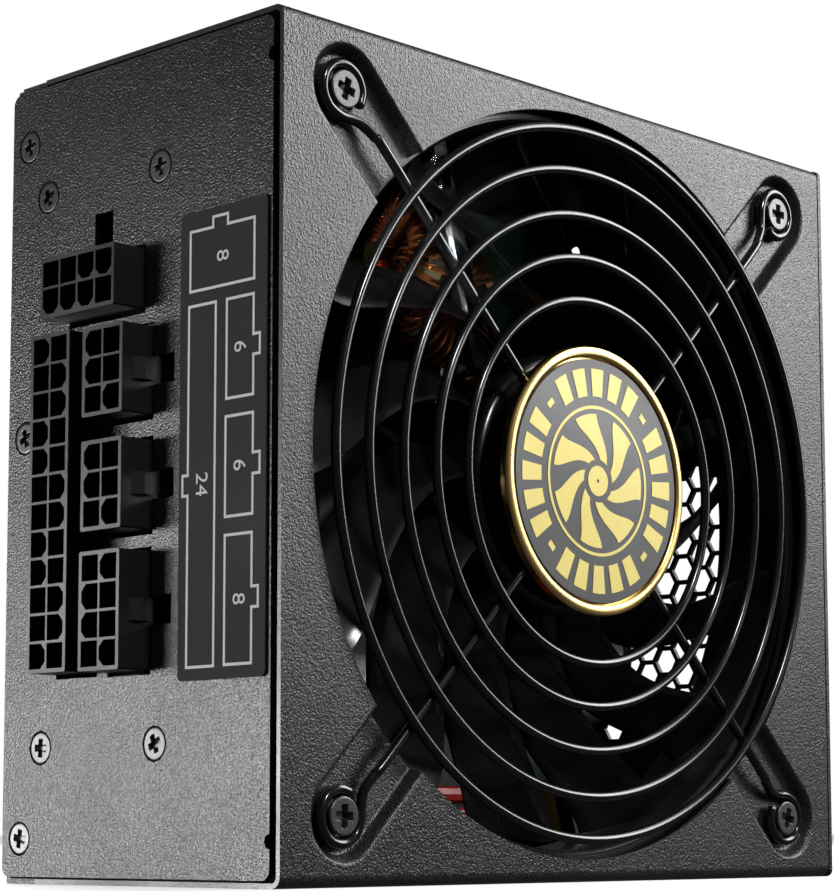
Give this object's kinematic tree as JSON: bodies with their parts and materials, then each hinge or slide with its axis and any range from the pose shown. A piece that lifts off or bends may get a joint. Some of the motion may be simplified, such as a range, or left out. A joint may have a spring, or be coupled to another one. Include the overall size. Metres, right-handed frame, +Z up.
{
  "type": "computer power supply unit",
  "caption": "Compact modular computer power supply: black steel case, large guarded fan, panel of output sockets, and a mains inlet, rocker switch and honeycomb vent at the far end.",
  "frame": {"origin": "centre of the long narrow side that the unit stands on, on the outside of the cover", "axes": "+Z up, +X towards the mains panel, -Y out of the fan face, +Y out of the plain back wall"},
  "size_m": [0.1402, 0.0663, 0.125],
  "materials": {
    "case_steel": "fine-textured black powder coat",
    "guard_wire": "gloss black plated wire",
    "badge_rim": "satin gold",
    "badge_print": "dark grey with a pale gold emblem",
    "label_film": "satin grey film with thin white outlines",
    "circuit_board": "solder mask",
    "insulation_film": "translucent sheet",
    "fan_plastic": "semi-gloss black",
    "copper_winding": "enamelled copper",
    "ferrite": "matt",
    "bright_steel": "plain",
    "black_nylon": "moulded",
    "socket_nylon": "moulded",
    "plated_brass": "nickel plated",
    "switch_plastic": "moulded",
    "capacitor_sleeve": "shrink sleeve",
    "winding_tape": "polyester tape",
    "choke_core": "coated powder iron",
    "heatsink_aluminium": "mill finish",
    "film_capacitor": "moulded",
    "screw_steel": "black zinc",
    "wire_black": "insulation",
    "wire_brown": "insulation",
    "wire_blue": "insulation",
    "wire_red": "insulation"
  },
  "bodies": {
    "housing": {"base_shell": "case_steel", "connector_panel": "case_steel", "cover": "case_steel", "fan_guard": "guard_wire", "guard_badge": "badge_rim", "badge_insert": "badge_print", "connector_label": "label_film", "modular_board": "circuit_board", "main_board": "circuit_board", "insulation_sheet": "insulation_film", "fan_frame": "fan_plastic", "fan_stator": "copper_winding", "ac_inlet": "black_nylon", "inlet_pin_line": "plated_brass", "inlet_pin_neutral": "plated_brass", "inlet_pin_earth": "plated_brass", "switch_housing": "black_nylon", "bulk_capacitor": "capacitor_sleeve", "transformer_core": "ferrite", "transformer_winding": "winding_tape", "output_choke_core": "choke_core", "output_choke_winding": "copper_winding", "input_choke_core": "ferrite", "input_choke_winding": "copper_winding", "heatsink_primary": "heatsink_aluminium", "heatsink_secondary": "heatsink_aluminium", "bridge_rectifier": "black_nylon", "filter_capacitor": "film_capacitor", "fan_cable": "wire_black", "line_wire": "wire_brown", "neutral_wire": "wire_blue", "output_wire_1": "wire_red", "output_wire_2": "wire_red", "guard_screw_1": "screw_steel", "board_standoff_1": "bright_steel", "guard_screw_2": "screw_steel", "board_standoff_2": "bright_steel", "guard_screw_3": "screw_steel", "board_standoff_3": "bright_steel", "guard_screw_4": "screw_steel", "board_standoff_4": "bright_steel", "panel_screw_1": "screw_steel", "panel_screw_2": "screw_steel", "panel_screw_3": "screw_steel", "panel_screw_4": "screw_steel", "panel_screw_5": "screw_steel", "panel_screw_6": "screw_steel", "panel_screw_7": "screw_steel", "output_capacitor_1": "capacitor_sleeve", "output_capacitor_2": "capacitor_sleeve", "output_capacitor_3": "capacitor_sleeve", "socket_24pin": "socket_nylon", "socket_pcie": "socket_nylon", "socket_peripheral_1": "socket_nylon", "socket_peripheral_2": "socket_nylon", "socket_cpu": "socket_nylon"},
    "fan": {"fan_rotor": "fan_plastic", "fan_magnet": "ferrite", "fan_shaft": "bright_steel"},
    "rocker": {"switch_rocker": "switch_plastic"}
  },
  "joints": [
    {"name": "fan_spin", "type": "hinge", "parent": "housing", "child": "fan", "pos_m": [0, -0.02, 0.0625], "axis": [0, -1, 0], "continuous": true},
    {"name": "switch_rock", "type": "hinge", "parent": "housing", "child": "rocker", "pos_m": [0.0624, -0.0066, 0.096], "axis": [0, -1, 0], "range_deg": [0, 22]}
  ]
}
